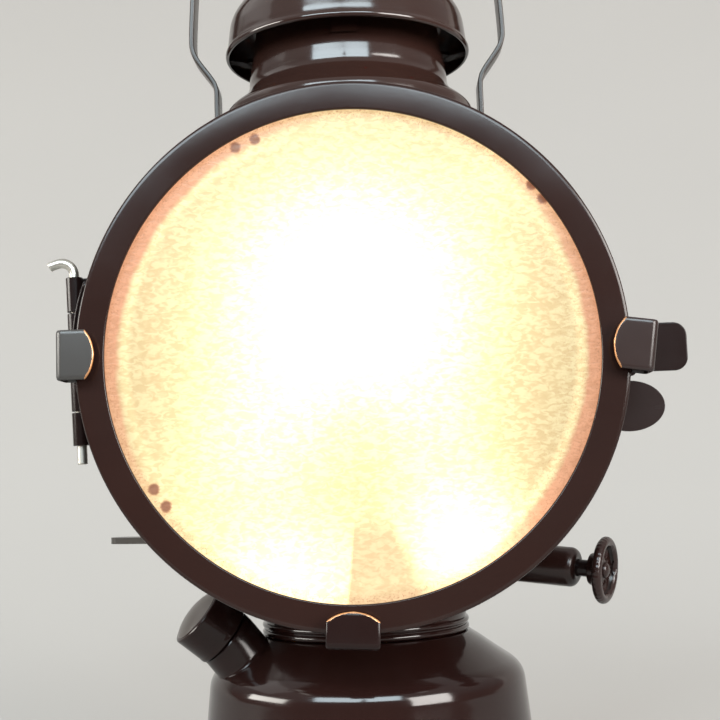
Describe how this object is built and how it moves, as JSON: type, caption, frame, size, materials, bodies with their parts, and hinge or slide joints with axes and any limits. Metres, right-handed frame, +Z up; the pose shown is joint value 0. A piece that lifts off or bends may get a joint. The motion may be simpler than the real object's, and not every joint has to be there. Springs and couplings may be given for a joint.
{
  "type": "conductor lamp",
  "caption": "Railway hand lamp: round hinged front door with pebbled glass, upright body with hooded chimney, strip bail, wick knob, and a flared oil tank with filler cap.",
  "frame": {"origin": "centre of the flat panel of the tank bottom, which the lamp stands on", "axes": "+Z up; -Y is the front, where the round door faces; +X is the side of the thumb tabs and the wick knob"},
  "size_m": [0.183, 0.135, 0.3356],
  "materials": {
    "black_paint": "semi-gloss",
    "ring_paint": "satin",
    "knob_paint": "semi-gloss",
    "bail_steel": "satin",
    "zinc_wire": "bright",
    "bare_sheet": "dull",
    "brass": "aged",
    "porcelain": "glossy",
    "mirror_metal": "polished",
    "pebbled_glass": "hammered",
    "bulb_glass": "frosted",
    "light_element": "glowing",
    "fibre": "matt",
    "cork": "matt",
    "rubber": "matt",
    "lead_fabric": "braided",
    "red_screen": "translucent red"
  },
  "bodies": {
    "root": {"housing_shell": "black_paint", "front_horn": "black_paint", "body_base_plate": "black_paint", "crown": "black_paint", "hood_brackets": "black_paint", "chimney_hood": "black_paint", "heat_baffle": "bare_sheet", "hood_rivet": "black_paint", "collar": "black_paint", "tank_shell": "black_paint", "tank_bottom": "black_paint", "filler_neck": "black_paint", "burner_base": "brass", "threaded_tube": "bare_sheet", "lampholder": "porcelain", "bulb_cap": "brass", "bulb_glass": "bulb_glass", "bulb_element": "light_element", "inner_lead": "lead_fabric", "cable_bush": "rubber", "reflector": "mirror_metal", "reflector_bracket": "black_paint", "shaft_sleeve": "black_paint", "body_hinge_leaf": "black_paint", "hinge_pin": "zinc_wire", "hinge_rivets": "black_paint", "body_thumb_tab": "black_paint", "bail_pivots": "black_paint", "shade_track": "black_paint"},
    "door": {"door_ring": "ring_paint", "front_glass": "pebbled_glass", "glass_gasket": "fibre", "glass_clips": "bare_sheet", "left_clip": "ring_paint", "right_clip": "ring_paint", "bottom_clip": "ring_paint", "clip_rivets": "ring_paint", "door_hinge_plate": "black_paint", "door_thumb_tab": "black_paint", "door_rivets": "black_paint"},
    "bail": {"bail": "bail_steel"},
    "wick": {"wick_shaft": "black_paint", "wick_knob": "knob_paint", "wick_wheel": "brass", "knob_rivet": "black_paint"},
    "filler_washer": {"filler_washer": "cork"},
    "filler_cap": {"filler_cap": "black_paint"},
    "shade": {"signal_shade": "red_screen", "shade_carrier": "bare_sheet", "shade_lever": "black_paint", "shade_struts": "bare_sheet"}
  },
  "joints": [
    {"name": "door_hinge", "type": "hinge", "parent": "root", "child": "door", "pos_m": [-0.0792, -0.05, 0.15], "axis": [0.0349, 0, -0.9994], "range_deg": [0, 150]},
    {"name": "bail_swing", "type": "hinge", "parent": "root", "child": "bail", "pos_m": [0, 0, 0.203], "axis": [1, 0, 0], "range_deg": [-115, 74]},
    {"name": "wick_turn", "type": "hinge", "parent": "root", "child": "wick", "pos_m": [0.07217, -0.03677, 0.0868], "axis": [0.8876, -0.4523, -0.0872], "continuous": true},
    {"name": "filler_lift", "type": "slide", "parent": "root", "child": "filler_washer", "axis": [-0.7175, -0.2683, 0.6428], "range_m": [0, 0.0075]},
    {"name": "filler_turn", "type": "hinge", "parent": "filler_washer", "child": "filler_cap", "pos_m": [-0.04337, -0.01621, 0.06865], "axis": [-0.7175, -0.2683, 0.6428], "range_deg": [0, 1083]},
    {"name": "shade_swing", "type": "hinge", "parent": "root", "child": "shade", "pos_m": [0, 0, 0.0942], "axis": [0, 0, -1], "range_deg": [0, 90]}
  ],
  "couplings": [
    {"joint": "filler_turn", "follows": "filler_lift", "rad_per_m": 2513.3}
  ]
}
